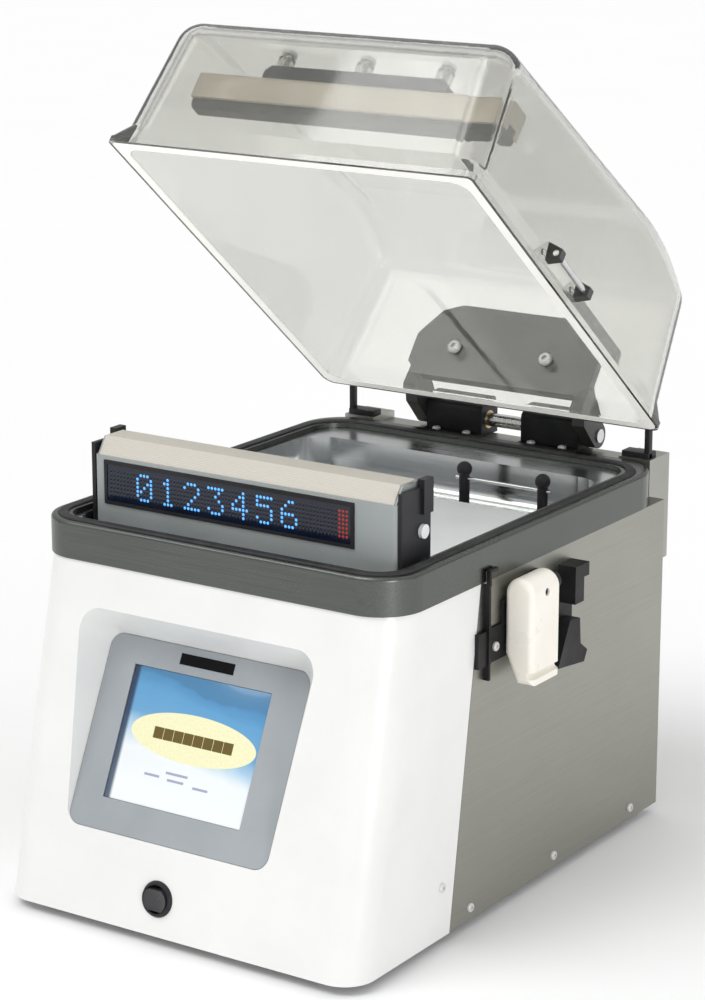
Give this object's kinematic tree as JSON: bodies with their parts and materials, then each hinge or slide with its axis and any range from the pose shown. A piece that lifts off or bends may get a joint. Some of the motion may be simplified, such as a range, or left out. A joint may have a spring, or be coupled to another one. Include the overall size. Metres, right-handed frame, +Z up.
{
  "type": "vacuum packing machine",
  "caption": "Desk-top chamber vacuum packing machine: clear hinged lid held open, lifting seal bar with lit display, tilted touch screen in a white front, steel sides.",
  "frame": {"origin": "bottom centre of the whole machine with its lid open, on the plane it stands on", "axes": "+X to the machine's right seen from the front, +Y to the back, +Z up"},
  "size_m": [0.3714, 0.5326, 0.6816],
  "materials": {
    "white_cover": "satin moulded ABS",
    "side_steel": "fine brushed, grey-green",
    "rim_metal": "dark anodised, satin",
    "stainless": "bright drawn stainless",
    "tray_steel": "galvanised",
    "rubber": "matt",
    "fastener": "bright zinc",
    "panel_grey": "fine textured",
    "screen": "lit display behind clear film",
    "black_plastic": "fine textured",
    "rocker_plastic": "gloss",
    "acrylic": "clear cast, polished",
    "white_plate": "polyethylene",
    "lever_plastic": "ivory moulded",
    "seal_grey": "satin anodised",
    "heater": "bare ribbon",
    "seal_cloth": "coated glass cloth",
    "beige_bar": "satin",
    "silicone": "matt silicone",
    "black_metal": "black coated",
    "bronze": "sintered",
    "led_lens": "dark lens with lit dots",
    "pump_paint": "enamel",
    "sight_glass": "clear",
    "motor_steel": "machined",
    "fan_plastic": "moulded",
    "circuit": "solder resist"
  },
  "bodies": {
    "casing": {"base_tray": "tray_steel", "rubber_feet": "rubber", "front_cover": "white_cover", "left_side_panel": "side_steel", "right_side_panel": "side_steel", "rear_panel": "side_steel", "case_screws": "fastener", "rim_trim": "rim_metal", "lid_gasket": "rubber", "hinge_housing": "side_steel", "control_bezel": "panel_grey", "touch_screen": "screen", "display_module": "black_plastic", "status_window": "black_plastic", "power_switch_bezel": "black_plastic", "chamber_tub": "stainless", "bag_stop_posts": "black_plastic", "bag_stop_rod": "stainless", "suction_port": "stainless", "guide_pins": "stainless", "lift_bladders": "rubber", "hinge_brackets": "black_metal", "hinge_bushes": "bronze", "torsion_springs": "black_metal", "latch_bracket": "black_metal", "latch_pin": "stainless", "vacuum_pump": "pump_paint", "oil_sight_glass": "sight_glass", "motor_shell": "pump_paint", "motor_bearings": "motor_steel", "fan_cowl": "fan_plastic", "mist_filter": "pump_paint", "exhaust_spigot": "stainless", "power_inlet": "fan_plastic", "seal_transformer": "motor_steel", "valve_block": "pump_paint", "vacuum_hoses": "rubber", "control_board": "circuit"},
    "lid": {"lid_dome": "acrylic", "press_bar": "beige_bar", "press_pad": "silicone", "press_bracket": "black_metal", "lid_bolts": "fastener", "hinge_plate": "black_metal", "hinge_shaft": "stainless", "lid_keeper": "black_plastic", "keeper_rod": "stainless"},
    "seal_bar": {"seal_housing": "seal_grey", "seal_bar_core": "seal_grey", "heating_wire": "heater", "seal_tape": "seal_cloth", "seal_end_caps": "black_plastic", "wire_terminals": "white_plate", "display_frame": "black_plastic", "display_lens": "led_lens"},
    "rocker": {"power_rocker": "rocker_plastic"},
    "latch": {"latch_lever": "lever_plastic"},
    "filler": {"filler_plate": "white_plate"},
    "rotor": {"motor_rotor": "motor_steel", "motor_fan": "fan_plastic"}
  },
  "joints": [
    {"name": "lid_hinge", "type": "hinge", "parent": "casing", "child": "lid", "pos_m": [-0.0133, 0.2332, 0.319], "axis": [1, 0, 0], "range_deg": [0, 39.5], "stiffness_Nm_per_rad": 13, "springref_deg": -35.52},
    {"name": "seal_lift", "type": "slide", "parent": "casing", "child": "seal_bar", "axis": [0, 0, 1], "range_m": [0, 0.007]},
    {"name": "rocker_tilt", "type": "hinge", "parent": "casing", "child": "rocker", "pos_m": [-0.0303, -0.25865, 0.03662], "axis": [1, 0, 0], "range_deg": [-14, 0]},
    {"name": "latch_swing", "type": "hinge", "parent": "casing", "child": "latch", "pos_m": [0.1727, -0.0408, 0.266], "axis": [0, -1, 0], "range_deg": [0, 180]},
    {"name": "filler_lift", "type": "slide", "parent": "casing", "child": "filler", "axis": [0, 0, 1], "range_m": [0, 0.1]},
    {"name": "motor_spin", "type": "hinge", "parent": "casing", "child": "rotor", "pos_m": [-0.0953, -0.0038, 0.094], "axis": [0, 1, 0], "continuous": true}
  ]
}
